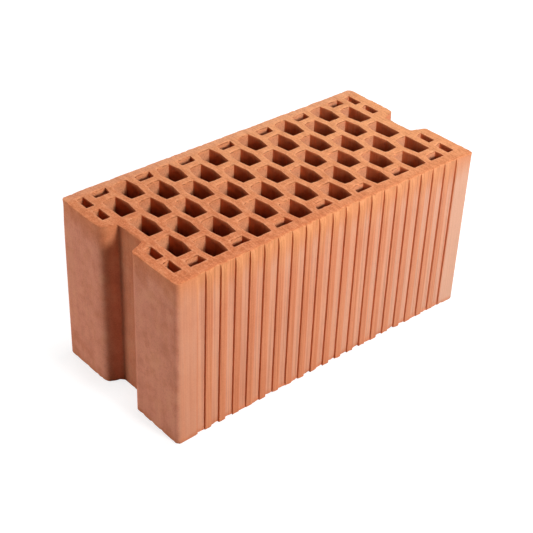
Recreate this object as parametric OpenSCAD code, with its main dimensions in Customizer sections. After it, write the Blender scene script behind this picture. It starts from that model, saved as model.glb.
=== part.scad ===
// Vertically perforated clay block: staggered long hexagonal holes, slotted ends
// with a mortar pocket, and fine upright grooves along both long sides.
// It lies on its lower bed face, with the origin at the middle of that face.

/* [Block] */
// Length along X
block_length = 288; // [220:1:380]
// Width along Y, over the ribs
block_width = 138; // [110:1:190]
// Height along the holes
block_height = 138; // [50:1:250]
// Radius of the four upright outer corners
corner_radius = 3.4; // [1:0.2:6]

/* [Wire-cut edges] */
// How far the upper cut edge rolls in from the face
top_roll_depth = 1.2; // [0.3:0.1:1.8]
// Height over which the upper edge rolls in
top_roll_height = 9; // [4:0.5:15]
// How far the lower cut edge rolls in from the face
bed_roll_depth = 0.6; // [0.3:0.1:1.8]
// Height over which the lower edge rolls in
bed_roll_height = 6; // [4:0.5:15]

/* [Hexagonal holes] */
// Spacing of the columns of holes along X
column_pitch = 19.45; // [18.5:0.05:24]
// Spacing of the holes in one column along Y
row_pitch = 32.4; // [30:0.1:38]
// Length of a hole along Y
hole_length = 26.3; // [22:0.1:28.5]
// Width of a hole at its middle
hole_middle_width = 16.2; // [13:0.1:17.5]
// Width of a hole at its two flat ends
hole_end_width = 12.2; // [9:0.1:13]
// Radius in the corners of a hole
hole_corner_radius = 1.7; // [0.5:0.1:3]
// Least size of a hole that is cut short by the shell
least_cut_hole = 6; // [3:0.5:10]
// Wall between the holes and each long side, over the ribs
side_shell = 8.7; // [7:0.1:13]

/* [End slots] */
// Wall between the slots and the end face
end_shell = 8.2; // [5:0.1:10]
// Width of a slot along X
slot_width = 6.6; // [4:0.1:9]
// Length of a slot along Y
slot_length = 15; // [9:0.1:15.6]
// Web between neighbouring slots
slot_web = 5.4; // [4:0.1:7]
// Wall between the outer slot and the long side
slot_side_wall = 9.7; // [7:0.1:13]
// Web between the slots and the hexagonal holes
slot_back_web = 6.1; // [4:0.1:9]
// Least wall between the inner slot and the mouth of the mortar pocket
slot_pocket_wall = 4; // [3:0.1:4.8]

/* [Mortar pockets] */
// Depth of the pocket in each end
pocket_depth = 12.5; // [6:0.5:14]
// Width of the pocket at the end face
pocket_mouth_width = 37.6; // [30:0.2:41]
// Width of the pocket at its floor
pocket_floor_width = 28; // [18:0.5:29]
// Radius of the corners at the mouth of the pocket
pocket_mouth_radius = 3.4; // [1:0.2:5]
// Radius of the corners at the floor of the pocket
pocket_floor_radius = 1.5; // [0.5:0.5:4]

/* [Side grooves] */
// Spacing of the grooves along both long sides
groove_pitch = 12.9; // [9:0.1:18]
// Width of a groove
groove_width = 7.1; // [3:0.1:8]
// Depth of a groove
groove_depth = 1.7; // [0.5:0.1:3]
// Least plain margin beside the first and the last groove
groove_margin = 15; // [8:1:30]

/* [Hidden] */

// Fired colour of the block
clay_colour = "#c97d55";
// How far a cutting shape runs past the face that it cuts
overrun = 1;
// Straight steps in one rounded corner and in one rolled edge
corner_steps = 4;
roll_steps = 4;
// Corners that turn less than this many degrees stay sharp
sharp_turn = 30;
// A rounded corner takes at most this share of the shorter side beside it
corner_side_share = 0.45;

half_length = block_length / 2;
half_width = block_width / 2;

// The hexagonal holes stay inside this field
field_half_length = half_length - end_shell - slot_width - slot_back_web;
field_half_width = half_width - side_shell;

// Columns on each side of the middle one
side_columns = floor((field_half_length + hole_middle_width / 2 - least_cut_hole) / column_pitch);
// How far from the middle a hole may lie and still be opened
row_reach = field_half_width + hole_length / 2 - least_cut_hole;

// Slots on each side of a mortar pocket, as many as there is room for
slot_room = half_width - slot_side_wall - pocket_mouth_width / 2 - slot_pocket_wall;
slots_per_side = floor((slot_room + slot_web) / (slot_length + slot_web));

groove_count = 1 + floor((block_length - 2 * groove_margin - groove_width) / groove_pitch);

function unit(v) = v / norm(v);

// One corner at p, between its neighbours a and b, as points on an arc
function corner_arc(a, p, b, radius) =
    let (
        u = unit(a - p),
        v = unit(b - p),
        opening = acos(u * v),
        turn = 180 - opening,
        room = corner_side_share * min(norm(a - p), norm(b - p)),
        r = min(radius, room * tan(opening / 2)),
        centre = p + unit(u + v) * r / sin(opening / 2),
        from = p + u * r / tan(opening / 2) - centre,
        to = p + v * r / tan(opening / 2) - centre
    )
    [for (k = [0 : corner_steps])
        let (s = k / corner_steps)
        centre + (from * sin((1 - s) * turn) + to * sin(s * turn)) / sin(turn)];

function corner_turn(a, p, b) = 180 - acos(unit(a - p) * unit(b - p));

// A closed outline with each corner rounded to its own radius
function rounded(points, radii) =
    let (n = len(points))
    [for (i = [0 : n - 1])
        let (
            a = points[(i + n - 1) % n],
            p = points[i],
            b = points[(i + 1) % n]
        )
        each corner_turn(a, p, b) < sharp_turn ? [p] : corner_arc(a, p, b, radii[i])];

function all_alike(points, radius) = [for (p = points) radius];

// The part of a convex outline where normal * point stays within the limit
function clipped(points, normal, limit) =
    let (n = len(points))
    [for (i = [0 : n - 1])
        let (
            p = points[i],
            q = points[(i + 1) % n],
            over_p = normal * p - limit,
            over_q = normal * q - limit,
            crossing = p + (q - p) * over_p / (over_p - over_q)
        )
        each concat(over_p <= 0 ? [p] : [], over_p * over_q < 0 ? [crossing] : [])];

function clipped_to_field(points) =
    let (
        east = clipped(points, [1, 0], field_half_length),
        west = clipped(east, [-1, 0], field_half_length),
        north = clipped(west, [0, 1], field_half_width)
    )
    clipped(north, [0, -1], field_half_width);

function hexagon(x, y) =
    let (
        middle = hole_middle_width / 2,
        end = hole_end_width / 2,
        reach = hole_length / 2
    )
    [
        [x + middle, y],
        [x + end, y + reach],
        [x - end, y + reach],
        [x - middle, y],
        [x - end, y - reach],
        [x + end, y - reach]
    ];

// Every second column is shifted by half a row
function row_shift(column) = column % 2 == 0 ? 0 : row_pitch / 2;

module hexagonal_holes() {
    for (column = [-side_columns : side_columns]) {
        first = ceil((-row_reach - row_shift(column)) / row_pitch);
        last = floor((row_reach - row_shift(column)) / row_pitch);
        for (row = [first : last]) {
            outline = clipped_to_field(hexagon(column * column_pitch, row_shift(column) + row * row_pitch));
            polygon(rounded(outline, all_alike(outline, hole_corner_radius)));
        }
    }
}

function slot(x, y) = [
    [x, y],
    [x + slot_width, y],
    [x + slot_width, y + slot_length],
    [x, y + slot_length]
];

module end_slots() {
    inner_x = half_length - end_shell - slot_width;
    for (end = [0, 1], side = [0, 1], i = [0 : slots_per_side - 1]) {
        outer_y = half_width - slot_side_wall - i * (slot_length + slot_web);
        outline = slot(inner_x, outer_y - slot_length);
        mirror([end, 0]) mirror([0, side])
            polygon(rounded(outline, all_alike(outline, hole_corner_radius)));
    }
}

module side_grooves() {
    for (side = [0, 1], i = [0 : groove_count - 1]) {
        x = (i - (groove_count - 1) / 2) * groove_pitch;
        mirror([0, side])
            translate([x - groove_width / 2, half_width - groove_depth])
                square([groove_width, groove_depth + overrun]);
    }
}

// One quarter of the outline, from the middle of the end to the long side
function outline_quarter() = [
    [half_length - pocket_depth, pocket_floor_width / 2],
    [half_length, pocket_mouth_width / 2],
    [half_length, half_width]
];
function quarter_radii() = [pocket_floor_radius, pocket_mouth_radius, corner_radius];

function flipped(points, sx, sy) = [for (p = points) [sx * p[0], sy * p[1]]];
function backwards(list) = [for (i = [len(list) - 1 : -1 : 0]) list[i]];

module outline() {
    quarter = outline_quarter();
    radii = quarter_radii();
    points = concat(
        quarter,
        backwards(flipped(quarter, -1, 1)),
        flipped(quarter, -1, -1),
        backwards(flipped(quarter, 1, -1))
    );
    polygon(rounded(points, concat(radii, backwards(radii), radii, backwards(radii))));
}

module section() {
    difference() {
        outline();
        side_grooves();
        hexagonal_holes();
        end_slots();
    }
}

// How far an edge has rolled in, and over what height, along its arc
function roll_arc(depth, height) =
    let (
        radius = (height * height + depth * depth) / (2 * depth),
        sweep = asin(height / radius)
    )
    [for (k = [0 : roll_steps])
        let (t = sweep * k / roll_steps)
        [radius * (1 - cos(t)), radius * sin(t)]];

// Upright profile of the block across one direction, both cut edges rolled in
function rolled_profile(half_span) =
    let (
        bed = [for (p = backwards(roll_arc(bed_roll_depth, bed_roll_height)))
            [half_span - p[0], bed_roll_height - p[1]]],
        top = [for (p = roll_arc(top_roll_depth, top_roll_height))
            [half_span - p[0], block_height - top_roll_height + p[1]]],
        right = concat(bed, top)
    )
    concat(right, backwards(flipped(right, -1, 1)));

module rolled_along_x() {
    rotate([90, 0, 90])
        linear_extrude(block_length + 2 * overrun, center = true)
            polygon(rolled_profile(half_width));
}

module rolled_along_y() {
    rotate([90, 0, 0])
        linear_extrude(block_width + 2 * overrun, center = true)
            polygon(rolled_profile(half_length));
}

module clay_block() {
    color(clay_colour)
        intersection() {
            linear_extrude(block_height) section();
            rolled_along_x();
            rolled_along_y();
        }
}

clay_block();
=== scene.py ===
import math
import random

import bmesh
import bpy
import numpy as np
from mathutils import Matrix, Vector, noise
from mathutils.geometry import delaunay_2d_cdt
from mathutils.kdtree import KDTree


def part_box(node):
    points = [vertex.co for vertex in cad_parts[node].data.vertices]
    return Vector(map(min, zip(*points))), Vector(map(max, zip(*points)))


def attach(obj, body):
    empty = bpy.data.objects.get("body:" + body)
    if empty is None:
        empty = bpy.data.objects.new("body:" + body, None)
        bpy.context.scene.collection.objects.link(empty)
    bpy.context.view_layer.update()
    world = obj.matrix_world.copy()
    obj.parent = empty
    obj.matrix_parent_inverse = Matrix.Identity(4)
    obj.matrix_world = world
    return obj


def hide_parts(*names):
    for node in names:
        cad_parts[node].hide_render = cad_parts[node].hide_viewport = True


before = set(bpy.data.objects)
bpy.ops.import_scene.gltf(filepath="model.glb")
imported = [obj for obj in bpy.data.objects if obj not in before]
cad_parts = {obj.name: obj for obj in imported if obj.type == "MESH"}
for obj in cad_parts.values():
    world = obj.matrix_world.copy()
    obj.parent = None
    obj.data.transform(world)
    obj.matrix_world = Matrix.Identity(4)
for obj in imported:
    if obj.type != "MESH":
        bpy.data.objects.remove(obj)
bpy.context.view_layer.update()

MM = 0.001
NODE = "clay_block"

# Camera: the photograph's frame, and lengths as shares of the block's own length
IMAGE_WIDTH_PX = 533
FOCAL_PX = 1201.5
SENSOR_WIDTH_MM = 36
CAMERA_AZIMUTH = -41.486
CAMERA_ELEVATION = 34.337
CAMERA_ROLL = 1.728
CAMERA_DISTANCE_SHARE = 3.3852
CAMERA_RIGHT_SHARE = -0.00595
CAMERA_UP_SHARE = 0.15873

# Outlines taken from the solid's level section
WELD = 0.002 * MM
STRAIGHT_TURN = math.radians(0.8)
SHARP_TURN = math.radians(35)
ARRIS_RADIUS = 0.28 * MM
ARRIS_STEPS = 2
HOLE_CORNER = 0.5 * MM
LEAST_STRAIGHT = 1 * MM
WALL_SPACING = 1.5 * MM
HOLE_SPACING = 2.8 * MM

# Wear at the far corner of the left pocket's mouth
MOUTH_REACH = 9 * MM
MOUTH_ROUNDS = 11

# Levels of the rings down the walls, finest at the two cut faces
WALL_FIRST_STEP = 0.5 * MM
WALL_GROWTH = 1.4
WALL_LAST_STEP = 6 * MM
HOLE_FIRST_STEP = 0.45 * MM
HOLE_GROWTH = 2.1
HOLE_LAST_STEP = 24 * MM

# How this unit differs from the plain solid: lean, core of holes, hollow front and dragged top
LEAN_BED_X = -0.3 * MM
LEAN_TOP_X = 1.6 * MM
CORE_X = -0.8 * MM
CORE_Y = 2 * MM
CORE_BOW = 0.9 * MM
FRONT_Y = -0.5 * MM
FRONT_BOW = 1.2 * MM
BACK_Y = 0.3 * MM
DRAG_FRONT_ENDS = 0.3 * MM
DRAG_FRONT_MIDDLE = 1.4 * MM
DRAG_BACK = 0.8 * MM
DRAG_DEPTH = 8 * MM
DRAG_POWER = 1.5

# Outer cut edges: their rounding and their wandering line
EDGE_ROUND = 0.4 * MM
EDGE_ROUND_FRONT = 0.6 * MM
EDGE_ROUND_VARIATION = 0.25 * MM
EDGE_ROUND_SEED = 7.7
EDGE_LUMP = 5 * MM
EDGE_WANDER = 0.4 * MM
EDGE_WANDER_LUMP = 9 * MM
EDGE_WANDER_REACH = 3 * MM
EDGE_WANDER_SEED = 13.1
BULK_CORNER = 16 * MM

# Chips in the outer cut edges
TOP_CHIP = 0.4 * MM
TOP_CHIP_LENGTH = 3.2 * MM
TOP_CHIP_SEED = 11.1
BED_CHIP = 1.1 * MM
BED_CHIP_LENGTH = 6 * MM
BED_CHIP_SEED = 17.9
CHIP_REACH = 1.4 * MM
CHIP_SET_IN_SHARE = 0.6

# Grooves that the wire smeared shut, all along the top and here and there at the bed
GROOVE_SEARCH = 4 * MM
FILL_FRONT_SHARE = 0.8
FILL_BACK_SHARE = 0.95
FILL_REACH = 3 * MM
BED_FILL_SHARE = 0.85
BED_FILL_REACH = 2 * MM
BED_FILL_LUMP = 19 * MM
BED_FILL_EVEN_SHARE = 0.5
BED_FILL_CONTRAST = 2
BED_FILL_SEED = 71.9

# A thin lip that the wire pulled over the top edge of the ends
LIP = 0.7 * MM
LIP_DEPTH = 0.9 * MM
LIP_LUMP = 3.2 * MM
LIP_EVEN_SHARE = 0.5
LIP_SEED = 29.3

# One bruised upper corner and two with a small spur, by the signs of X and Y
BRUISE_CORNER = (-1, 1)
BRUISE = 1.4 * MM
BRUISE_REACH = 9 * MM
BRUISE_DEPTH = 9 * MM
SPUR_CORNERS = ((-1, 1), (1, -1))
SPUR = 0.8 * MM
SPUR_REACH = 2 * MM
SPUR_DEPTH = 2.5 * MM

# Rims of the holes: rounding, burrs, smeared corners and webs of uneven width
HOLE_SEED = 31
HOLE_SEED_STEP = 1.37
RIM_ROUND = 0.12 * MM
RIM_ROUND_FAR = 0.9 * MM
RIM_VARIATION = 0.1 * MM
RIM_LUMP = 3 * MM
RIM_BURR = 1.1 * MM
BURR_RARITY = 1.5
BURR_EVEN_SHARE = 0.7
BURR_DEPTH = 0.8 * MM
BURR_SPAN = 4 * MM
CORNER_SMEAR = 1.5 * MM
CORNER_REACH = 3 * MM
CORNER_DEPTH = 6 * MM
WEB_WANDER = 0.25 * MM
WEB_WANDER_LUMP = 7 * MM
WEB_WANDER_SEED_STEP = 5

# Waviness of the walls
WALL_WAVE = 0.15 * MM
WALL_WAVE_SIZE = (45 * MM, 45 * MM, 60 * MM)
WALL_WAVE_SEED = 3.3
HOLE_WAVE = 0.16 * MM
HOLE_WAVE_SIZE = (14 * MM, 14 * MM, 40 * MM)

# Points and relief of the two cut faces
FACE_SPACING = 1.5 * MM
FACE_RIM_SPACING = FACE_SPACING / 3
FACE_JITTER_SHARE = 0.28
FACE_CLEARANCE_SHARE = 0.75
TRIANGLES_INSIDE = 1
FACE_SEED = 5
FACE_RELIEF = 0.09 * MM
FACE_RELIEF_SIZE = (3.5 * MM, 9 * MM, 3.5 * MM)
FACE_RELIEF_CAP_SHARE = 0.5
FACE_GRIT = 0.07 * MM
FACE_GRIT_SIZE = (1.8 * MM, 1.8 * MM, 1.8 * MM)
TOP_FACE_SEED = 41.3
BED_FACE_SEED = 47.9

# Where the skin turns from the long sides to the ends, and into the pockets
END_TURN_GAIN = 2
POCKET_SEARCH = 3 * MM

# Pale bloom of the extruded skin, as shares of full bloom, and how it fades
BLOOM_FLOOR_SHARE = 0.62
BLOOM_RIB_SHARE = 0.13
BLOOM_MARGIN_SHARE = 0.52
BLOOM_DUSTY_MARGIN_SHARE = 0.8
BLOOM_END_SHARE = 1
BLOOM_POCKET_SHARE = 0.44
BLOOM_HOLE_SHARE = 0.25
BLOOM_TOP_FADE = 20 * MM
BLOOM_LATE_POWER = 2
BLOOM_BED_FADE = 5 * MM
BLOOM_SEED = 23.3
RAGGED_SHARE = 0.35

# Painted shade: darker walls in holes and grooves, and the darkest painted shade, by place and depth
SHADE_RIM_SHARE = 0.85
SHADE_DEPTH = 6 * MM
GROOVE_SHADE_SHARE = 0.7
DEEP_SHADE_START = 5 * MM
DEEP_SHADE_END = 14.5 * MM
DEEP_SHADE_FRONT_SHARE = 0.3
DEEP_SHADE_FRONT_START = 2 * MM
DEEP_SHADE_FRONT_TURN = 0.14
DEEP_SHADE_POCKET_SHARE = 0.23

# Painted light: lighter, yellower skin near the top of the long sides, a lit patch high in the pockets, and
# on the end walls of the holes
HOLE_END_LIGHT_SHARE = 0.6
UPPER_LIGHT_MARGIN_SHARE = 0.5
POCKET_LIGHT_SHARE = 0.55
UPPER_LIGHT_FADE = 32 * MM
UPPER_LIGHT_SEED = 61.7

# Drawing lines, grain, pale rims that are a painted highlight and partly wear, and a painted shadow under
# the far rim of a hole
LINES_MARGIN_SHARE = 0.35
HOLE_GRAIN_SHARE = 0.8
RIM_SEED = 51
RIM_WEAR_AND_HIGHLIGHT_SHARE = 0.6
RIM_SHADOW_SHARE = 0.6
RIM_SHADOW_CONTRAST = 1.5

# What the material reads on the two cut faces, away from their edges
FACE_MARKS = {
    "bloom": 0,
    "cut": 1,
    "end": 0,
    # Painted shade, darkest painted shade and painted light: none on the cut faces
    "painted_shade": 0,
    "deep": 0,
    "upper": 0,
    "lines": 0,
    "grain": 1,
    # Rims: painted highlight, partly wear, and painted shadow under the far rims
    "rim": 0,
}

# Colours of the fired clay, by what they lie on
BODY_COLOUR = (0.735, 0.222, 0.093, 1)
# Painted light near the top of the skin and on the end walls of holes
UPPER_LIGHT_COLOUR = (0.84, 0.335, 0.136, 1)
# Painted shade on walls in holes and grooves, then the darkest painted shade deep in holes and pockets
PAINTED_SHADE_COLOUR = (0.65, 0.162, 0.052, 1)
DEEP_SHADE_COLOUR = (0.12, 0.018, 0.004, 1)
# Cut faces from a shaded colour on the left to a lit one on the right, as painted light
SHADED_CUT_COLOUR = (0.665, 0.19, 0.072, 1)
LIT_CUT_COLOUR = (0.885, 0.372, 0.158, 1)
SIDE_BLOOM_COLOUR = (0.82, 0.452, 0.313, 1)
END_BLOOM_COLOUR = (0.84, 0.312, 0.2, 1)
# Pale rims: painted highlight, partly wear; then the painted shadow under the far rims
WEAR_AND_HIGHLIGHT_COLOUR = (0.9, 0.45, 0.25, 1)
RIM_SHADOW_COLOUR = (0.22, 0.055, 0.02, 1)
DARK_GRAIN_COLOUR = (0.46, 0.13, 0.05, 1)
PALE_GRAIN_COLOUR = (0.93, 0.44, 0.22, 1)

# Slow changes along the block, painted light that grows to the right: the skin's bloom and level, and the
# colour of the cut faces
LEFT_BLOOM_AND_LIGHT = 0.87
RIGHT_BLOOM_AND_LIGHT = 1.22
RIGHT_PAINTED_LIGHT = 0.2
LEFT_SKIN_LIGHT = 0.95
SKIN_LIGHT_RISE = 0.06
SKIN_LIGHT_RISE_END = 30 * MM
CUT_LIGHT_TURN = 1.1
CUT_LIGHT_START = -120 * MM
CUT_LIGHT_END = 130 * MM

# Bands of the cut faces along the far and the near long side; the darker near one is painted shade
FAR_BAND_START = 60 * MM
FAR_BAND_END = 66 * MM
FAR_BAND_SHARE = 0.28
NEAR_SHADE_START = -55 * MM
NEAR_SHADE_END = -66 * MM
NEAR_SHADE_SHARE = 0.45

# Noise of the material: size of its lumps, scale along X, Y and Z (small draws it out), detail
NOISES = {
    "grain": (1.1 * MM, (1, 1, 1), 4),
    "mottle": (7 * MM, (1, 1, 1), 4),
    "cloud": (60 * MM, (1, 1, 1), 2),
    "streaks": (2.2 * MM, (1, 1, 0.025), 4),
    "hairlines": (1.1 * MM, (1, 1, 0.012), 2),
    "smears": (5 * MM, (1, 1, 0.1), 3),
    "blotches": (12 * MM, (1, 0.7, 0.7), 6),
    "wire": (1.8 * MM, (1, 0.16, 1), 3),
}

# The range that noise mostly keeps to, and where dark and pale marks begin and are full
NOISE_RANGE = (0.35, 0.65)
MARK_START = 0.5
DARK_MARK_FULL = 0.33
PALE_MARK_FULL = 0.67

# How noise varies the bloom, the painted shade and the roughness, from low to high
BLOOM_BY_CLOUD = (0.85, 1.12)
SIDE_BLOOM_BY_STREAKS = (0.88, 1.12)
END_BLOOM_BY_MOTTLE = (0.75, 1.25)
SHADE_BY_HAIRLINES = (0.84, 1.08)
DEEP_SHADE_BY_STREAKS = (0.86, 1.08)
DEEP_SHADE_BY_MOTTLE = (0.82, 1.16)
ROUGHNESS_BY_GRAIN = (0.82, 0.96)

# Strength of the pale rims (painted highlight, partly wear), and of the dark and pale marks that each noise
# makes
WEAR_AND_HIGHLIGHT_STRENGTH = 0.5
GRIT_SKIN_SHARE = 0.25
GRIT_GRAIN_SHARE = 0.75
GRIT_END_SHARE = 0.3
GRAIN_STRENGTH = 0.42
MOTTLE_STRENGTH = 0.2
WIRE_STRENGTH = 0.25
HAIRLINE_STRENGTH = 0.28
SMEAR_STRENGTH = 0.09
BLOTCH_STRENGTH = 0.2

# Fine bumps and shine
STREAK_BUMP = 0.5
WIRE_BUMP = 0.8
GRAIN_BUMP_SKIN = 0.4
BUMP_STRENGTH = 0.6
BUMP_DISTANCE = 0.4 * MM
SPECULAR_LEVEL = 0.2

# Lamps: name, azimuth, elevation, distance, size, and share of white on a face turned to it
LAMPS = (
    ("key", 4, 28, 1.2, 0.24, 0.77),
    ("above", 90, 88, 1.6, 0.3, 0.44),
    ("right", 75, 22, 0.75, 0.35, 0.26),
    ("left_fill", -128, 4, 1.4, 0.6, 0.58),
    ("back_fill", 165, 12, 1.6, 0.6, 0.3),
)

# World: white for the camera, and this share of it as light
WORLD_LEVEL = 0.04
WHITE = (1, 1, 1, 1)

# Floor: size, drop below the block, colour, and glow near to and far from the block
FLOOR_SIZE = 8
FLOOR_DROP = 0.1 * MM
FLOOR_COLOUR = (0.35, 0.35, 0.35, 1)
FLOOR_GLOW = 0.8
FLOOR_NEAR = 0.5
FLOOR_FAR = 1.8


def lumps(points, size, seed):
    """Smooth noise from -1 to 1 at each 3-D point, with lumps of about that size."""
    scaled = np.asarray(points) / np.asarray(size) + seed
    return np.array([noise.noise(p) for p in scaled.tolist()])


def level_outlines(solid, height):
    """Closed 2-D outlines where a level plane cuts the solid."""
    mesh = bmesh.new()
    mesh.from_mesh(solid.data)
    bmesh.ops.remove_doubles(mesh, verts=mesh.verts, dist=WELD)
    everything = mesh.verts[:] + mesh.edges[:] + mesh.faces[:]
    bmesh.ops.bisect_plane(mesh, geom=everything, plane_co=(0, 0, height), plane_no=(0, 0, 1),
                           clear_inner=True, clear_outer=True)
    outlines = []
    left = set(mesh.verts)
    while left:
        walk = [next(v for v in mesh.verts if v in left)]
        left.discard(walk[0])
        while True:
            ahead = [e.other_vert(walk[-1]) for e in walk[-1].link_edges]
            ahead = [v for v in ahead if v in left]
            if not ahead:
                break
            walk.append(ahead[0])
            left.discard(ahead[0])
        outlines.append(np.array([v.co[:2] for v in walk]))
    mesh.free()
    return outlines


def turns(points):
    """Angle that the closed outline turns through at each point."""
    ahead = np.roll(points, -1, axis=0) - points
    behind = points - np.roll(points, 1, axis=0)
    cross = behind[:, 0] * ahead[:, 1] - behind[:, 1] * ahead[:, 0]
    return np.arctan2(cross, (behind * ahead).sum(axis=1))


def signed_area(points):
    """Area inside the outline, positive when it runs anticlockwise."""
    ahead = np.roll(points, -1, axis=0)
    return ((points[:, 0] * ahead[:, 1] - ahead[:, 0] * points[:, 1]) / 2).sum()


def crossing(start, start_way, end, end_way):
    """Where two lines cross, each given by a point and a direction."""
    reach = np.linalg.solve(np.column_stack([start_way, -end_way]), end - start)[0]
    return start + start_way * reach


def sharpened(points):
    """The outline with each rounded corner drawn out to where its straight sides meet."""
    ways = np.roll(points, -1, axis=0) - points
    straight = np.flatnonzero(np.linalg.norm(ways, axis=1) > LEAST_STRAIGHT)
    drawn = []
    for index, ahead in zip(straight, np.roll(straight, -1)):
        way, way_ahead = ways[index], ways[ahead]
        cosine = way @ way_ahead / np.linalg.norm(way) / np.linalg.norm(way_ahead)
        if cosine > math.cos(SHARP_TURN):
            drawn.append(points[ahead])
        else:
            drawn.append(crossing(points[index], way, points[ahead], way_ahead))
    return np.array(drawn)


def eased_corners(points, radius):
    """The outline with each sharp corner replaced by a short arc."""
    eased = []
    for index, turn in enumerate(turns(points)):
        corner = points[index]
        if abs(turn) < SHARP_TURN:
            eased.append(corner)
            continue
        behind = points[index - 1] - corner
        ahead = points[(index + 1) % len(points)] - corner
        start = corner + behind / np.linalg.norm(behind) * radius
        end = corner + ahead / np.linalg.norm(ahead) * radius
        for step in range(ARRIS_STEPS + 1):
            share = step / ARRIS_STEPS
            eased.append(start * (1 - share) ** 2 + corner * 2 * share * (1 - share) + end * share ** 2)
    return np.array(eased)


def evenly_split(points, spacing):
    """The outline with its long edges split, so that no edge is longer than the spacing."""
    split = []
    for start, end in zip(points, np.roll(points, -1, axis=0)):
        count = max(1, math.ceil(np.linalg.norm(end - start) / spacing))
        split.extend(start + (end - start) * step / count for step in range(count))
    return np.array(split)


def softened_mouth(points):
    """The outer outline with the far corner at the mouth of the left pocket worn rounder."""
    points = points.copy()
    half_length = np.abs(points[:, 0]).max()
    at_end = np.abs(points[:, 0]) > half_length - WELD
    mouth = np.array([-half_length, np.abs(points[at_end, 1]).min()])
    wear = np.exp(-(np.linalg.norm(points - mouth, axis=1) / MOUTH_REACH) ** 2)[:, None]
    for _ in range(MOUTH_ROUNDS):
        between = (np.roll(points, 1, axis=0) + np.roll(points, -1, axis=0)) / 2
        points += wear * (between - points)
    return points


def outward(points):
    """Unit normals that point out of the clay, which lies to the left of the outline."""
    along = np.roll(points, -1, axis=0) - np.roll(points, 1, axis=0)
    along /= np.linalg.norm(along, axis=1, keepdims=True)
    return np.stack([along[:, 1], -along[:, 0]], axis=1)


def prepared_outlines(solid, height):
    """The outer outline and the holes' outlines, each with clay on its left."""
    raw = level_outlines(solid, height)
    raw = [points[np.abs(turns(points)) > STRAIGHT_TURN] for points in raw]
    raw.sort(key=lambda points: -abs(signed_area(points)))
    prepared = []
    for index, points in enumerate(raw):
        clay_inside = index == 0
        if (signed_area(points) > 0) != clay_inside:
            points = points[::-1]
        if clay_inside:
            outer = evenly_split(eased_corners(points, ARRIS_RADIUS), WALL_SPACING)
            prepared.append(softened_mouth(outer))
        else:
            hole = eased_corners(sharpened(points), HOLE_CORNER)
            prepared.append(evenly_split(hole, HOLE_SPACING))
    return prepared


def graded_levels(height, first, growth, last):
    """Heights from the top down to zero, closest together at both ends."""
    steps = [first]
    while sum(steps) < height / 2:
        steps.append(min(last, steps[-1] * growth))
    upper = np.cumsum([0] + steps)
    upper *= height / 2 / upper[-1]
    return np.concatenate([height - upper, upper[-2::-1]])


def rounding(radius, depth):
    """How far an edge of that radius lies in from the wall, at a depth below the cut face."""
    rise = np.clip(1 - depth / radius, 0, 1)
    return radius * (1 - np.sqrt(1 - rise ** 2))


def leaning(rings, height):
    """Shift along X of each point of a unit that leans."""
    return LEAN_BED_X + (LEAN_TOP_X - LEAN_BED_X) * rings[..., 2] / height


def hollow(rings, half_length):
    """Share of a bow that is full at the middle of the length and nothing at the ends."""
    return 1 - (rings[..., 0] / half_length) ** 2


def settle_outer(rings, height, half_length, half_width):
    """Moves the outer wall to where it is on this unit."""
    middle = hollow(rings, half_length)
    to_back = np.clip((1 + rings[..., 1] / half_width) / 2, 0, 1)
    dragged = np.clip(1 - (height - rings[..., 2]) / DRAG_DEPTH, 0, 1) ** DRAG_POWER
    drag_front = DRAG_FRONT_ENDS + (DRAG_FRONT_MIDDLE - DRAG_FRONT_ENDS) * middle
    front = FRONT_Y + FRONT_BOW * middle + drag_front * dragged
    back = BACK_Y + DRAG_BACK * dragged
    rings[..., 0] += leaning(rings, height)
    rings[..., 1] += front + (back - front) * to_back


def settle_core(rings, height, half_length, half_width):
    """Moves a hole to where it is on this unit."""
    to_front = np.clip((1 - rings[..., 1] / half_width) / 2, 0, 1)
    bow = CORE_BOW * hollow(rings, half_length) * (2 * to_front - 1)
    rings[..., 0] += leaning(rings, height) + CORE_X
    rings[..., 1] += CORE_Y + bow


def plain_rings(points, levels):
    """Array of rings by points by coordinates, straight down from the outline."""
    rings = np.empty((len(levels), len(points), 3))
    rings[..., :2] = points[None]
    rings[..., 2] = levels[:, None]
    return rings


def push(rings, normals, amount):
    """Moves the rings along the wall's normals by that amount."""
    rings[..., :2] += normals[None] * amount[..., None]


def make_wavy(rings, normals, amount, size, seed):
    """Gives a wall slow waves."""
    wave = lumps(rings.reshape(-1, 3), size, seed).reshape(rings.shape[:2])
    push(rings, normals, amount * wave)


def bulk_outward(points):
    """Unit directions away from the block as a whole, alike on a rib and in a groove."""
    reach = np.abs(points).max(axis=0) - BULK_CORNER
    beyond = np.clip(np.abs(points) - reach, 0, None) * np.sign(points)
    return beyond / np.linalg.norm(beyond, axis=1, keepdims=True)


def along_edge(points, size, seed):
    """Noise along an edge, one value for each point of the outline."""
    flat = np.column_stack([points, np.zeros(len(points))])
    return lumps(flat, size, seed)


def groove_depths(points):
    """How deep each point of the outer outline lies in a groove of a long side, 0 elsewhere."""
    half_length, half_width = np.abs(points).max(axis=0)
    depth = half_width - np.abs(points[:, 1])
    grooved = (depth < GROOVE_SEARCH) & (np.abs(points[:, 0]) < half_length - BULK_CORNER)
    return np.where(grooved, depth, 0)


def corner_distances(points, signs):
    """How far each point of the outline lies from one corner of its box."""
    return np.linalg.norm(points - np.abs(points).max(axis=0) * signs, axis=1)


def round_edges(rings, points, bulk, below_top, above_bed):
    """Rounds both cut edges unevenly, and the top edge of the front more than the rest."""
    radius = EDGE_ROUND + EDGE_ROUND_VARIATION * along_edge(points, EDGE_LUMP, EDGE_ROUND_SEED)
    half_length = np.abs(points[:, 0]).max()
    top_radius = radius + EDGE_ROUND_FRONT * hollow(points, half_length) * (points[:, 1] < 0)
    for depth, edge_radius in ((below_top, top_radius), (above_bed, radius)):
        push(rings, bulk, -rounding(edge_radius[None], depth))


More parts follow.
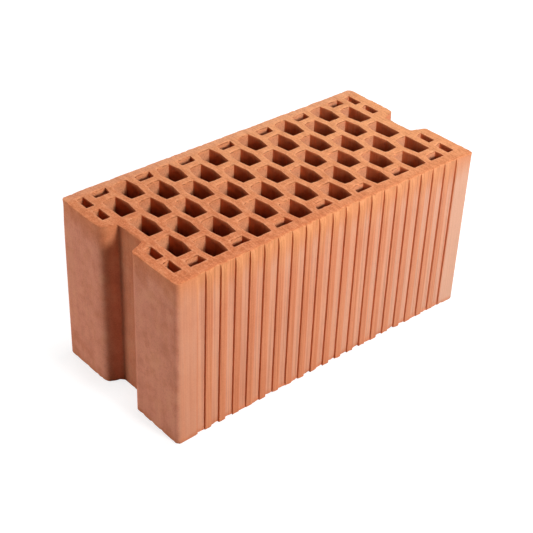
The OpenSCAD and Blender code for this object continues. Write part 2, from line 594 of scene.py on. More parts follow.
def chip_edge(rings, points, bulk, depth, chip, length, rise, seed):
    """Tears chips of that depth and length from one cut edge."""
    torn = along_edge(points, length, seed) + along_edge(points, length / 2, seed) / 2
    torn = chip * np.clip(torn, 0, 1)[None] * np.exp(-depth / CHIP_REACH)
    rings[..., 2] += rise * torn
    push(rings, bulk, -CHIP_SET_IN_SHARE * torn)


def smear_grooves(rings, points, below_top, above_bed):
    """Fills the grooves near the top edge, and here and there near the bed edge."""
    smeared = np.where(points[:, 1] > 0, FILL_BACK_SHARE, -FILL_FRONT_SHARE) * groove_depths(points)
    rings[..., 1] += smeared[None] * np.exp(-below_top / FILL_REACH)
    patches = BED_FILL_EVEN_SHARE + BED_FILL_CONTRAST * along_edge(points, BED_FILL_LUMP, BED_FILL_SEED)
    here_and_there = BED_FILL_SHARE * np.clip(patches, 0, 1)
    rings[..., 1] += (smeared * here_and_there)[None] * np.exp(-above_bed / BED_FILL_REACH)


def pull_lip(rings, points, bulk, below_top):
    """Pulls a thin uneven lip over the top edge of the ends."""
    on_end = np.abs(bulk[:, 0]) > math.cos(SHARP_TURN)
    lip = LIP * on_end * np.clip(LIP_EVEN_SHARE + along_edge(points, LIP_LUMP, LIP_SEED), 0, 1)
    push(rings, bulk, lip[None] * np.exp(-below_top / LIP_DEPTH))


def mark_corners(rings, points, bulk, below_top):
    """Bruises one upper corner and leaves small spurs at two."""
    apart = corner_distances(points, BRUISE_CORNER)
    bruise = BRUISE * np.exp(-(apart / BRUISE_REACH) ** 2)
    push(rings, bulk, -bruise[None] * np.exp(-below_top / BRUISE_DEPTH))
    for signs in SPUR_CORNERS:
        apart = corner_distances(points, signs)
        spur = SPUR * np.exp(-((apart - apart.min()) / SPUR_REACH) ** 2)
        push(rings, bulk, spur[None] * np.exp(-below_top / SPUR_DEPTH))


def outer_rings(points, height):
    """Rings of the outer wall, with its cut edges rounded, torn and smeared."""
    levels = graded_levels(height, WALL_FIRST_STEP, WALL_GROWTH, WALL_LAST_STEP)
    rings = plain_rings(points, levels)
    make_wavy(rings, outward(points), WALL_WAVE, WALL_WAVE_SIZE, WALL_WAVE_SEED)
    bulk = bulk_outward(points)
    below_top = (height - levels)[:, None]
    above_bed = levels[:, None]
    round_edges(rings, points, bulk, below_top, above_bed)
    wander = EDGE_WANDER * along_edge(points, EDGE_WANDER_LUMP, EDGE_WANDER_SEED)
    push(rings, bulk, wander[None] * np.exp(-below_top / EDGE_WANDER_REACH))
    chip_edge(rings, points, bulk, below_top, TOP_CHIP, TOP_CHIP_LENGTH, -1, TOP_CHIP_SEED)
    chip_edge(rings, points, bulk, above_bed, BED_CHIP, BED_CHIP_LENGTH, 1, BED_CHIP_SEED)
    smear_grooves(rings, points, below_top, above_bed)
    pull_lip(rings, points, bulk, below_top)
    mark_corners(rings, points, bulk, below_top)
    return rings


def burr_rim(rings, points, below_top, uneven, index):
    """Pushes a burr over the near rim of a hole, as strong as its own draw makes it."""
    strength = RIM_BURR * random.Random(index).random() ** BURR_RARITY
    nearness = np.clip(1 - (points[:, 1] - points[:, 1].min()) / BURR_SPAN, 0, 1)
    burr = strength * nearness * np.clip(BURR_EVEN_SHARE + uneven, 0, 1)
    rings[..., 1] += burr[None] * np.exp(-below_top / BURR_DEPTH)


def smear_corner(rings, points, below_top):
    """Smears clay across the far left corner of a hole, near the top."""
    middle = (points.min(axis=0) + points.max(axis=0)) / 2
    corner = points[np.argmax(points[:, 1] - points[:, 0])]
    inward = (middle - corner) / np.linalg.norm(middle - corner)
    near = np.exp(-(np.linalg.norm(points - corner, axis=1) / CORNER_REACH) ** 2)
    smear = CORNER_SMEAR * near[None] * np.exp(-below_top / CORNER_DEPTH)
    rings[..., :2] += smear[..., None] * inward


def hole_rings(points, height, index):
    """Rings of one hole, with crisp rims that the wire burred on the near side."""
    levels = graded_levels(height, HOLE_FIRST_STEP, HOLE_GROWTH, HOLE_LAST_STEP)
    rings = plain_rings(points, levels)
    normals = outward(points)
    seed = HOLE_SEED + index * HOLE_SEED_STEP
    make_wavy(rings, normals, HOLE_WAVE, HOLE_WAVE_SIZE, seed)
    uneven = along_edge(points, RIM_LUMP, seed)
    radius = RIM_ROUND + RIM_ROUND_FAR * np.clip(-normals[:, 1], 0, 1) + RIM_VARIATION * uneven
    below_top = (height - levels)[:, None]
    above_bed = levels[:, None]
    for depth in (below_top, above_bed):
        push(rings, normals, -rounding(radius[None], depth))
    burr_rim(rings, points, below_top, uneven, index)
    wander = WEB_WANDER * along_edge(points, WEB_WANDER_LUMP, seed + WEB_WANDER_SEED_STEP)
    push(rings, normals, wander[None] * np.exp(-below_top / BURR_DEPTH))
    smear_corner(rings, points, below_top)
    return rings


def enclosed(points, outline):
    """Which 2-D points lie inside the closed outline."""
    inside = np.zeros(len(points), bool)
    for start, end in zip(outline, np.roll(outline, -1, axis=0)):
        crosses = (start[1] > points[:, 1]) != (end[1] > points[:, 1])
        if crosses.any():
            reach = start[0] + (points[:, 1] - start[1]) / (end[1] - start[1] or 1) * (end[0] - start[0])
            inside ^= crosses & (points[:, 0] < reach)
    return inside


def jittered_grid(low, high):
    """Points of a triangular grid over a box, each moved a little by chance."""
    draw = random.Random(FACE_SEED)
    row_step = FACE_SPACING * math.sqrt(3) / 2
    jitter = FACE_SPACING * FACE_JITTER_SHARE
    grid = []
    for row in range(int((high[1] - low[1]) / row_step) + 1):
        for column in range(int((high[0] - low[0]) / FACE_SPACING) + 1):
            x = low[0] + (column + row % 2 / 2) * FACE_SPACING + draw.uniform(-jitter, jitter)
            y = low[1] + row * row_step + draw.uniform(-jitter, jitter)
            grid.append((x, y))
    return np.array(grid)


def face_points(edges):
    """Jittered points over a cut face, clear of its edges and holes."""
    grid = jittered_grid(edges[0].min(axis=0), edges[0].max(axis=0))
    keep = enclosed(grid, edges[0])
    for hole in edges[1:]:
        near = np.all((grid > hole.min(axis=0)) & (grid < hole.max(axis=0)), axis=1)
        keep[near] &= ~enclosed(grid[near], hole)
    grid = grid[keep]
    rims = np.concatenate([evenly_split(edge, FACE_RIM_SPACING) for edge in edges])
    tree = KDTree(len(rims))
    for index, point in enumerate(rims):
        tree.insert((*point, 0), index)
    tree.balance()
    distances = np.array([tree.find((*point, 0))[-1] for point in grid])
    return grid[distances > FACE_SPACING * FACE_CLEARANCE_SHARE]


def face_borders(edges):
    """Pairs of neighbouring points along the edges of a cut face, numbered through."""
    borders = []
    start = 0
    for edge in edges:
        count = len(edge)
        borders.extend((start + index, start + (index + 1) % count) for index in range(count))
        start += count
    return borders


def face_triangles(edges, filling):
    """Triangles of a cut face, as indices into its edges' points and then its filling points."""
    points = np.concatenate(edges + [filling])
    owner = np.concatenate([np.full(len(edge), index) for index, edge in enumerate(edges)]
                           + [np.full(len(filling), -1)])
    outline = list(range(len(edges[0])))
    flat = [Vector(p) for p in points]
    made = delaunay_2d_cdt(flat, face_borders(edges), [outline], TRIANGLES_INSIDE, WELD)
    _, _, faces, origins, _, _ = made
    source = [origin[0] for origin in origins]
    triangles = []
    for face in faces:
        corners = [source[index] for index in face]
        owners = set(owner[corners])
        across_a_hole = len(owners) == 1 and owners.pop() > 0
        if across_a_hole:
            continue
        a, b, c = points[corners]
        clockwise = (b[0] - a[0]) * (c[1] - a[1]) < (b[1] - a[1]) * (c[0] - a[0])
        triangles.append(corners[::-1] if clockwise else corners)
    return triangles


def ring_quads(rings, first):
    """Faces between the rings of one wall, whose points are numbered from first."""
    count, around = rings.shape[:2]
    quads = []
    for level in range(count - 1):
        upper = first + level * around
        lower = upper + around
        for index in range(around):
            ahead = (index + 1) % around
            quads.append((upper + index, lower + index, lower + ahead, upper + ahead))
    return quads


def relief(filling, height, seed):
    """Fine relief of a cut face at its filling points."""
    flat = np.column_stack([filling, np.full(len(filling), height)])
    raised = FACE_RELIEF * lumps(flat, FACE_RELIEF_SIZE, seed)
    raised = raised + FACE_GRIT * lumps(flat, FACE_GRIT_SIZE, seed)
    return np.minimum(raised, FACE_RELIEF_CAP_SHARE * FACE_RELIEF)


def end_marks(points):
    """1 on the ends and pockets of the outer outline, 0 on its long sides, and between on its corners."""
    half_length, half_width = np.abs(points).max(axis=0)
    by_corner = np.abs(points[:, 0]) > half_length - BULK_CORNER
    on_side = np.abs(points[:, 1]) > half_width - GROOVE_SEARCH
    facing_end = np.clip(END_TURN_GAIN * outward(points)[:, 0] ** 2, 0, 1)
    return np.where(on_side, by_corner * facing_end, 1)


def pocket_marks(points):
    """1 on the walls of the two mortar pockets, less at the turn of their mouths, and 0 elsewhere."""
    half_length, half_width = np.abs(points).max(axis=0)
    set_in = np.clip((half_length - np.abs(points[:, 0])) / POCKET_SEARCH, 0, 1)
    return set_in * (np.abs(points[:, 1]) < half_width - GROOVE_SEARCH)


def groove_floors(points):
    """True on the floors of the grooves in the long sides."""
    facing = np.abs(outward(points)[:, 1]) > math.cos(SHARP_TURN)
    return facing & (groove_depths(points) > ARRIS_RADIUS)


def grooved_zone(points):
    """True along the length that the grooves take up."""
    margin = np.abs(points[groove_floors(points), 0]).max() + WALL_SPACING
    return np.abs(points[:, 0]) < margin


def depth_from_rims(rings, height):
    """How far each point of a wall lies from the nearer of the two cut faces."""
    return np.clip(np.minimum(height - rings[..., 2], rings[..., 2]), 0, None)


def full_bloom(points):
    """Bloom round the outer wall, where no cut face is near: most on the ends, least on the ribs."""
    front_right = (points[:, 0] > 0) & (points[:, 1] < 0)
    cases = [groove_floors(points), grooved_zone(points), front_right]
    shares = [BLOOM_FLOOR_SHARE, BLOOM_RIB_SHARE, BLOOM_DUSTY_MARGIN_SHARE]
    on_sides = np.select(cases, shares, BLOOM_MARGIN_SHARE)
    on_ends = BLOOM_END_SHARE + (BLOOM_POCKET_SHARE - BLOOM_END_SHARE) * pocket_marks(points)
    end = end_marks(points)
    return end * on_ends + (1 - end) * on_sides


def outer_bloom(rings, points, height):
    """Bloom on the outer wall, which fades raggedly to both cut faces, slower in the pockets."""
    ragged = along_edge(points, EDGE_LUMP, BLOOM_SEED) * RAGGED_SHARE
    top_fade = BLOOM_TOP_FADE * (1 + ragged + pocket_marks(points))
    top = np.clip((height - rings[..., 2]) / top_fade[None], 0, 1)
    bed = np.clip(rings[..., 2] / (BLOOM_BED_FADE * (1 + ragged[None])), 0, 1)
    late = np.where(grooved_zone(points), BLOOM_LATE_POWER, 1)
    return full_bloom(points)[None] * top ** late[None] * bed


def hole_bloom(rings, height):
    """Faint bloom in a hole, none at its two rims."""
    return BLOOM_HOLE_SHARE * np.clip(depth_from_rims(rings, height) / BLOOM_BED_FADE, 0, 1)


def outer_painted_shade(rings, points):
    """Painted shade on the outer wall: on the side walls of the grooves."""
    wall = np.abs(outward(points)[:, 0]) > math.cos(SHARP_TURN)
    wall &= groove_depths(points) > 0
    return np.tile(GROOVE_SHADE_SHARE * wall, (len(rings), 1))


def hole_painted_shade(rings, points, height):
    """Painted shade in a hole: on its long walls across X, from just inside the rims on."""
    deeper = np.clip(depth_from_rims(rings, height) / SHADE_DEPTH, 0, 1)
    painted_shade = outward(points)[:, 0] ** 2 * (SHADE_RIM_SHARE + (1 - SHADE_RIM_SHARE) * deeper)
    painted_shade[[0, -1]] = 0
    return painted_shade


def outer_deep_shade(rings, points):
    """Darkest painted shade on the outer wall: some of it on the pockets' floors, none elsewhere."""
    deep = DEEP_SHADE_POCKET_SHARE * pocket_marks(points) * outward(points)[:, 0] ** 2
    return np.tile(deep, (len(rings), 1))


def hole_deep_shade(rings, points, height):
    """Darkest painted shade in a hole: low down on the long walls across X, and higher on their front
    halves.
    """
    normals = outward(points)
    depth = depth_from_rims(rings, height)
    share = (depth - DEEP_SHADE_START) / (DEEP_SHADE_END - DEEP_SHADE_START)
    on_front_half = np.clip(normals[:, 1] / DEEP_SHADE_FRONT_TURN, 0, 1)
    front_share = DEEP_SHADE_FRONT_SHARE * on_front_half * np.clip(depth / DEEP_SHADE_FRONT_START, 0, 1)
    return normals[:, 0] ** 2 * np.clip(np.maximum(share, front_share), 0, 1)


def outer_painted_light(rings, points, height):
    """Painted light: lighter, yellower skin towards the top of the long sides, less on their margins and in
    the pockets, where it lights the top of their walls across Y.
    """
    ragged = along_edge(points, EDGE_LUMP, UPPER_LIGHT_SEED) * RAGGED_SHARE
    upper = np.clip(1 - (height - rings[..., 2]) / (UPPER_LIGHT_FADE * (1 + ragged[None])), 0, 1)
    beside = np.where(grooved_zone(points), 1, UPPER_LIGHT_MARGIN_SHARE)
    on_sides = (1 - end_marks(points)) * beside
    in_pockets = POCKET_LIGHT_SHARE * pocket_marks(points) * outward(points)[:, 1] ** 2
    return upper * (on_sides + in_pockets)


def hole_painted_light(rings, points):
    """Painted light: lighter, yellower skin on the end walls of a hole."""
    return np.tile(HOLE_END_LIGHT_SHARE * outward(points)[:, 1] ** 2, (len(rings), 1))


def outer_lines(rings, points):
    """How clear the upright lines are: most among the grooves, none on the ends."""
    lines = np.where(grooved_zone(points), 1, LINES_MARGIN_SHARE) * (1 - end_marks(points))
    return np.tile(lines, (len(rings), 1))


def cut_share(rings, height):
    """How much of the cut face's look reaches down a wall."""
    return np.exp(-depth_from_rims(rings, height) / EDGE_ROUND)


def rim_marks(points, levels, index):
    """Marks near the top of a hole: above 0 on pale rims (painted highlight, partly wear), below 0 for a
    painted shadow under the far rim.
    """
    to_far_rim = np.clip(-outward(points)[:, 1], 0, 1)
    uneven = along_edge(points, RIM_LUMP, RIM_SEED + index * HOLE_SEED_STEP)
    marks = np.zeros((levels, len(points)))
    marks[0] = np.clip(RIM_WEAR_AND_HIGHLIGHT_SHARE + uneven, 0, 1)
    marks[1] = -to_far_rim * np.clip(RIM_SHADOW_SHARE + RIM_SHADOW_CONTRAST * uneven, 0, 1)
    return marks


def outer_marks(rings, points, height):
    """Everything that the material reads on the outer wall."""
    none = np.zeros(rings.shape[:2])
    return {
        "bloom": outer_bloom(rings, points, height),
        "cut": cut_share(rings, height),
        "end": np.tile(end_marks(points), (len(rings), 1)),
        "painted_shade": outer_painted_shade(rings, points),
        "deep": outer_deep_shade(rings, points),
        "upper": outer_painted_light(rings, points, height),
        "lines": outer_lines(rings, points),
        "grain": none,
        "rim": none,
    }


def hole_marks(rings, points, height, index):
    """Everything that the material reads on the walls of one hole."""
    none = np.zeros(rings.shape[:2])
    return {
        "bloom": hole_bloom(rings, height),
        "cut": cut_share(rings, height),
        "end": none,
        "painted_shade": hole_painted_shade(rings, points, height),
        "deep": hole_deep_shade(rings, points, height),
        "upper": hole_painted_light(rings, points),
        "lines": none,
        "grain": none + HOLE_GRAIN_SHARE,
        "rim": rim_marks(points, len(rings), index),
    }


def wall_marks(walls, outlines, height):
    """What the material reads on all walls, as one row of values for each mark."""
    marks = [outer_marks(walls[0], outlines[0], height)]
    holes = zip(walls[1:], outlines[1:])
    marks += [hole_marks(wall, points, height, index) for index, (wall, points) in enumerate(holes)]
    return {name: np.concatenate([mark[name].ravel() for mark in marks]) for name in FACE_MARKS}


def cut_face(walls, starts, level, height, seed, first):
    """Filling points of one cut face, numbered from first, and all its triangles."""
    edges = [wall[level, :, :2] for wall in walls]
    numbers = [start + (level % wall.shape[0]) * wall.shape[1] + np.arange(wall.shape[1])
               for wall, start in zip(walls, starts)]
    filling = face_points(edges)
    numbers = np.concatenate(numbers + [first + np.arange(len(filling))])
    sign = 1 if level == 0 else -1
    rise = height + sign * relief(filling, height, seed)
    triangles = [[int(numbers[corner]) for corner in corners[::sign]]
                 for corners in face_triangles(edges, filling)]
    return np.column_stack([filling, rise]), triangles


def marked_mesh(points, faces, marks):
    """A smooth mesh with sharp edges kept and the marks at its points."""
    mesh = bpy.data.meshes.new("dressed_block")
    mesh.from_pydata(points.tolist(), [], faces)
    for name, values in marks.items():
        attribute = mesh.attributes.new(name, "FLOAT", "POINT")
        attribute.data.foreach_set("value", values.astype(np.float32))
    mesh.shade_smooth()
    mesh.set_sharp_from_angle(angle=SHARP_TURN)
    return mesh


def block_mesh(solid, box):
    """The dressed block: outer wall, holes and two cut faces in one closed mesh."""
    low, high = box
    height = high.z - low.z
    outlines = prepared_outlines(solid, low.z + height / 2)
    walls = [outer_rings(outlines[0], height)]
    walls += [hole_rings(points, height, index) for index, points in enumerate(outlines[1:])]
    marks = wall_marks(walls, outlines, height)
    settle_outer(walls[0], height, high.x, high.y)
    for wall in walls[1:]:
        settle_core(wall, height, high.x, high.y)
    points = np.concatenate([wall.reshape(-1, 3) for wall in walls])
    starts = np.cumsum([0] + [wall.shape[0] * wall.shape[1] for wall in walls])
    faces = []
    for wall, start in zip(walls, starts):
        faces += ring_quads(wall, int(start))
    for level, face_height, seed in ((0, height, TOP_FACE_SEED), (-1, 0.0, BED_FACE_SEED)):
        filling, triangles = cut_face(walls, starts, level, face_height, seed, len(points))
        faces += triangles
        points = np.concatenate([points, filling])
        for name, value in FACE_MARKS.items():
            marks[name] = np.concatenate([marks[name], np.full(len(filling), value)])
    return marked_mesh(points, faces, marks)


class Graph:
    """Short calls that add nodes to one node tree."""

    def __init__(self, tree):
        self.tree = tree

    def add(self, kind, inputs, **settings):
        """A node of that kind, with each input linked or set to a value."""
        node = self.tree.nodes.new(kind)
        for name, value in settings.items():
            setattr(node, name, value)
        for key, value in inputs.items():
            if isinstance(value, bpy.types.NodeSocket):
                self.tree.links.new(value, node.inputs[key])
            else:
                node.inputs[key].default_value = value
        return node

    def noise(self, coords, size, stretch, detail):
        """Noise with lumps of about that size, drawn out along the axes that stretch by less than 1."""
        placed = self.add("ShaderNodeMapping", {"Vector": coords, "Scale": stretch})
        inputs = {"Vector": placed.outputs[0], "Scale": 1 / size, "Detail": detail}
        return self.add("ShaderNodeTexNoise", inputs).outputs["Fac"]

    def attribute(self, name):
        """A mark that the mesh carries."""
        return self.add("ShaderNodeAttribute", {}, attribute_name=name).outputs["Fac"]

    def maths(self, operation, first, second, clamp=False):
        """One operation on two values, kept from 0 to 1 if clamp says so."""
        inputs = {0: first, 1: second}
        return self.add("ShaderNodeMath", inputs, operation=operation, use_clamp=clamp).outputs[0]

    def times(self, first, second, clamp=False):
        """One value multiplied by another."""
        return self.maths("MULTIPLY", first, second, clamp)

    def plus(self, first, second, clamp=False):
        """One value added to another."""
        return self.maths("ADD", first, second, clamp)

    def ramp(self, value, start, stop, low=0, high=1):
        """Low up to start, high from stop on, and in between for values between them."""
        inputs = {"Value": value, "From Min": start, "From Max": stop, "To Min": low, "To Max": high}
        return self.add("ShaderNodeMapRange", inputs, clamp=True).outputs[0]

    def spread(self, pattern, low, high):
        """A noise pattern brought to the range from low to high."""
        return self.ramp(pattern, *NOISE_RANGE, low, high)

    def mixed(self, share, first, second):
        """The first colour with that share of the second one, by the mix node's colour sockets."""
        inputs = {0: share, 6: first, 7: second}
        return self.add("ShaderNodeMix", inputs, data_type="RGBA").outputs[2]

    def mixed_value(self, share, first, second):
        """The first value with that share of the second one."""
        return self.add("ShaderNodeMix", {0: share, 2: first, 3: second}).outputs[0]

    def scaled(self, colour, level):
        """The colour made brighter or darker."""
        inputs = {0: colour, "Scale": level}
        return self.add("ShaderNodeVectorMath", inputs, operation="SCALE").outputs[0]

    def marked(self, colour, pattern, where, strength):
        """The colour with dark and pale grains or lines where a noise pattern is low and high."""
        amount = self.times(where, strength)
        dark = self.times(self.ramp(pattern, MARK_START, DARK_MARK_FULL), amount)
        pale = self.times(self.ramp(pattern, MARK_START, PALE_MARK_FULL), amount)
        return self.mixed(pale, self.mixed(dark, colour, DARK_GRAIN_COLOUR), PALE_GRAIN_COLOUR)


def bloom_share(graph, marks, noises, along, half_length):
    """How much bloom lies on the skin: patchy, and on the long sides more to the right, with painted light
    that pales the skin to the right.
    """
    end = marks["end"]
    streaky = graph.spread(noises["streaks"], *SIDE_BLOOM_BY_STREAKS)
    mottled = graph.spread(noises["mottle"], *END_BLOOM_BY_MOTTLE)
    rising = graph.ramp(along, -half_length, half_length, LEFT_BLOOM_AND_LIGHT, RIGHT_BLOOM_AND_LIGHT)
    dust_and_light = graph.times(marks["bloom"], graph.spread(noises["cloud"], *BLOOM_BY_CLOUD))
    dust_and_light = graph.times(dust_and_light, graph.mixed_value(end, streaky, mottled))
    dust_and_light = graph.times(dust_and_light, graph.mixed_value(end, rising, 1.0))
    painted_paling = graph.times(graph.ramp(along, 0, half_length), RIGHT_PAINTED_LIGHT)
    return graph.plus(dust_and_light, painted_paling, clamp=True)


def skin_colour(graph, marks, noises, along, half_length):
    """Colour of the extruded skin: the body with painted light near the top, under its bloom, and on the
    long sides brighter to the right as painted light.
    """
    bloom_colour = graph.mixed(marks["end"], SIDE_BLOOM_COLOUR, END_BLOOM_COLOUR)
    plain_colour = graph.mixed(marks["upper"], BODY_COLOUR, UPPER_LIGHT_COLOUR)
    share = bloom_share(graph, marks, noises, along, half_length)
    colour = graph.mixed(share, plain_colour, bloom_colour)
    # Painted light: the long sides grow brighter to the right
    brighter = graph.times(graph.ramp(along, -half_length, SKIN_LIGHT_RISE_END), SKIN_LIGHT_RISE)
    level = graph.mixed_value(marks["end"], graph.plus(brighter, LEFT_SKIN_LIGHT), 1.0)
    return graph.scaled(colour, level)


def cut_colour(graph, along, across):
    """Colour of the cut faces: painted light, paler to the right and far side, with a band along each long
    side, the near one painted shade.
    """
    slanting = graph.plus(along, graph.times(across, CUT_LIGHT_TURN))
    painted_paling = graph.ramp(slanting, CUT_LIGHT_START, CUT_LIGHT_END)
    colour = graph.mixed(painted_paling, SHADED_CUT_COLOUR, LIT_CUT_COLOUR)
    far_band = graph.times(graph.ramp(across, FAR_BAND_START, FAR_BAND_END), FAR_BAND_SHARE)
    colour = graph.mixed(far_band, colour, SIDE_BLOOM_COLOUR)
    near_shade = graph.times(graph.ramp(across, NEAR_SHADE_START, NEAR_SHADE_END), NEAR_SHADE_SHARE)
    return graph.mixed(near_shade, colour, SHADED_CUT_COLOUR)


def with_rims(graph, colour, rim):
    """The colour with the pale rims of the holes, a painted highlight and partly wear, and painted shadows
    under them.
    """
    # worn: a painted highlight on the rims, partly wear
    worn = graph.times(rim, WEAR_AND_HIGHLIGHT_STRENGTH, clamp=True)
    rim_shadow = graph.times(rim, -1, clamp=True)
    colour = graph.mixed(worn, colour, WEAR_AND_HIGHLIGHT_COLOUR)
    return graph.mixed(rim_shadow, colour, RIM_SHADOW_COLOUR)


def with_grain(graph, colour, marks, noises):
    """The colour with grains, wire marks on the cut faces, and lines and smears on the skin."""
    gritty = graph.plus(graph.times(marks["grain"], GRIT_GRAIN_SHARE), GRIT_SKIN_SHARE)
    gritty = graph.plus(gritty, graph.times(marks["end"], GRIT_END_SHARE))
    colour = graph.marked(colour, noises["grain"], gritty, GRAIN_STRENGTH)
    colour = graph.marked(colour, noises["mottle"], gritty, MOTTLE_STRENGTH)
    colour = graph.marked(colour, noises["wire"], marks["cut"], WIRE_STRENGTH)
    colour = graph.marked(colour, noises["hairlines"], marks["lines"], HAIRLINE_STRENGTH)
    colour = graph.marked(colour, noises["smears"], marks["end"], SMEAR_STRENGTH)
    return graph.marked(colour, noises["blotches"], marks["end"], BLOTCH_STRENGTH)


def with_painted_shade(graph, colour, marks, noises):
    """The colour with painted shade on walls in holes and grooves, and the darkest painted shade in holes
    and pockets.
    """
    dark = graph.times(marks["painted_shade"], graph.spread(noises["hairlines"], *SHADE_BY_HAIRLINES), clamp=True)
    darkest = graph.times(marks["deep"], graph.spread(noises["streaks"], *DEEP_SHADE_BY_STREAKS), clamp=True)
    darkest = graph.times(darkest, graph.spread(noises["mottle"], *DEEP_SHADE_BY_MOTTLE), clamp=True)
    colour = graph.mixed(dark, colour, PAINTED_SHADE_COLOUR)
    return graph.mixed(darkest, colour, DEEP_SHADE_COLOUR)


def fine_bumps(graph, marks, noises):
    """Normals of fine streaks on the skin, wire marks on the cut faces, and grain on both."""
    skin = graph.maths("SUBTRACT", 1.0, marks["cut"], clamp=True)
    streak_height = graph.times(graph.times(noises["streaks"], skin), STREAK_BUMP)
    wire_height = graph.times(graph.times(noises["wire"], marks["cut"]), WIRE_BUMP)
    grain_height = graph.times(noises["grain"], graph.plus(marks["grain"], GRAIN_BUMP_SKIN))
    height = graph.plus(graph.plus(streak_height, wire_height), grain_height)
    inputs = {"Height": height, "Strength": BUMP_STRENGTH, "Distance": BUMP_DISTANCE}
    return graph.add("ShaderNodeBump", inputs).outputs[0]


def clay_material(half_length):
    """Fired clay: orange body, pale bloom on the skin, grain, streaks and wire marks, and painted light and
    shade.
    """
    material = bpy.data.materials.new("fired_clay_surface")
    material.use_nodes = True
    tree = material.node_tree
    graph = Graph(tree)
    coords = graph.add("ShaderNodeTexCoord", {}).outputs["Object"]
    along, across, _ = graph.add("ShaderNodeSeparateXYZ", {"Vector": coords}).outputs
    marks = {name: graph.attribute(name) for name in FACE_MARKS}
    noises = {name: graph.noise(coords, *values) for name, values in NOISES.items()}
    skin = skin_colour(graph, marks, noises, along, half_length)
    colour = graph.mixed(marks["cut"], skin, cut_colour(graph, along, across))
    colour = with_rims(graph, colour, marks["rim"])
    colour = with_grain(graph, colour, marks, noises)
    colour = with_painted_shade(graph, colour, marks, noises)
    shader = tree.nodes["Principled BSDF"]
    tree.links.new(colour, shader.inputs["Base Color"])
    tree.links.new(fine_bumps(graph, marks, noises), shader.inputs["Normal"])
    tree.links.new(graph.spread(noises["grain"], *ROUGHNESS_BY_GRAIN), shader.inputs["Roughness"])
    shader.inputs["Specular IOR Level"].default_value = SPECULAR_LEVEL
    return material


def add_block(solid, box):
    """Puts the dressed block in place of the plain solid."""
    block = bpy.data.objects.new("fired_clay_block", block_mesh(solid, box))
    bpy.context.scene.collection.objects.link(block)
    block.data.materials.append(clay_material(box[1].x))
    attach(block, "root")
    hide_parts(NODE)


def direction(azimuth, elevation):
    """Unit vector from the block towards a place round it, by the view's own angles."""
    turn, lift = math.radians(azimuth), math.radians(elevation)
    return Vector((math.sin(turn) * math.cos(lift), -math.cos(turn) * math.cos(lift), math.sin(lift)))


def add_camera(length):
    """The photograph's camera."""
    back = direction(CAMERA_AZIMUTH, CAMERA_ELEVATION)
    level_right = Vector((0, 0, 1)).cross(back).normalized()
    level_up = back.cross(level_right)
    roll = math.radians(CAMERA_ROLL)
    right = level_right * math.cos(roll) + level_up * math.sin(roll)
    up = level_up * math.cos(roll) - level_right * math.sin(roll)
    place = (back * CAMERA_DISTANCE_SHARE + right * CAMERA_RIGHT_SHARE + up * CAMERA_UP_SHARE) * length
    data = bpy.data.cameras.new("camera")
    data.sensor_width = SENSOR_WIDTH_MM
    data.lens = FOCAL_PX / IMAGE_WIDTH_PX * SENSOR_WIDTH_MM
    camera = bpy.data.objects.new("camera", data)
    camera.matrix_world = Matrix.Translation(place) @ Matrix((right, up, back)).transposed().to_4x4()
    bpy.context.scene.collection.objects.link(camera)
    bpy.context.scene.camera = camera


def add_lamp(name, azimuth, elevation, distance, size, level, aim):
    """A square soft light that puts that share of white on a face turned to it."""
    data = bpy.data.lights.new(name, "AREA")
    data.size = size
    data.energy = level * math.pi ** 2 * distance ** 2
    lamp = bpy.data.objects.new(name, data)
    towards = direction(azimuth, elevation)
    lamp.location = aim + towards * distance
    lamp.rotation_mode = "QUATERNION"
    lamp.rotation_quaternion = towards.to_track_quat("Z", "Y")
    bpy.context.scene.collection.objects.link(lamp)


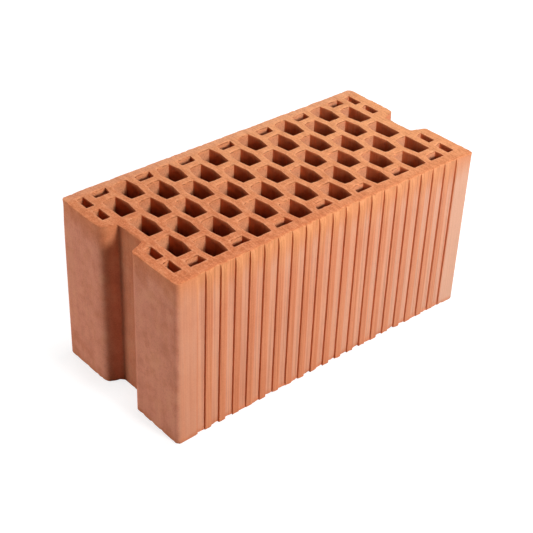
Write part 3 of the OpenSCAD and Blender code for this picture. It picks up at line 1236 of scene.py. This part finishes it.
def add_world():
    """A world that the camera sees as white and that adds a little light."""
    world = bpy.data.worlds.new("studio")
    bpy.context.scene.world = world
    world.use_nodes = True
    graph = Graph(world.node_tree)
    shown = graph.add("ShaderNodeLightPath", {}).outputs["Is Camera Ray"]
    background = world.node_tree.nodes["Background"]
    background.inputs["Color"].default_value = WHITE
    level = graph.ramp(shown, 0, 1, WORLD_LEVEL, 1)
    world.node_tree.links.new(level, background.inputs["Strength"])


def add_lights(box):
    """Lamps all round at low angles and one straight above, so the holes stay dark."""
    middle = (box[0] + box[1]) / 2
    for lamp in LAMPS:
        add_lamp(*lamp, middle)
    add_world()


def floor_material():
    """Matt pale floor that also glows for the camera alone, so it looks white and keeps its shadow."""
    material = bpy.data.materials.new("pale_floor")
    material.use_nodes = True
    tree = material.node_tree
    tree.nodes.remove(tree.nodes["Principled BSDF"])
    graph = Graph(tree)
    shown = graph.add("ShaderNodeLightPath", {}).outputs["Is Camera Ray"]
    coords = graph.add("ShaderNodeTexCoord", {}).outputs["Object"]
    away = graph.add("ShaderNodeVectorMath", {0: coords}, operation="LENGTH").outputs["Value"]
    whiteness = graph.ramp(away, FLOOR_NEAR, FLOOR_FAR, FLOOR_GLOW, 1)
    glow = graph.add("ShaderNodeEmission", {"Strength": graph.times(shown, whiteness)})
    matt = graph.add("ShaderNodeBsdfDiffuse", {"Color": FLOOR_COLOUR})
    both = graph.add("ShaderNodeAddShader", {0: glow.outputs[0], 1: matt.outputs[0]})
    tree.links.new(both.outputs[0], tree.nodes["Material Output"].inputs["Surface"])
    return material


def add_floor():
    """A plain pale floor just under the block."""
    half = FLOOR_SIZE / 2
    corners = [(-half, -half, 0), (half, -half, 0), (half, half, 0), (-half, half, 0)]
    mesh = bpy.data.meshes.new("floor")
    mesh.from_pydata(corners, [], [(0, 1, 2, 3)])
    mesh.materials.append(floor_material())
    floor = bpy.data.objects.new("floor", mesh)
    floor.location.z = -FLOOR_DROP
    bpy.context.scene.collection.objects.link(floor)


node_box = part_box(NODE)
add_camera(node_box[1].x - node_box[0].x)
add_block(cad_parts[NODE], node_box)
add_floor()
add_lights(node_box)
bpy.context.scene.view_settings.view_transform = "Standard"
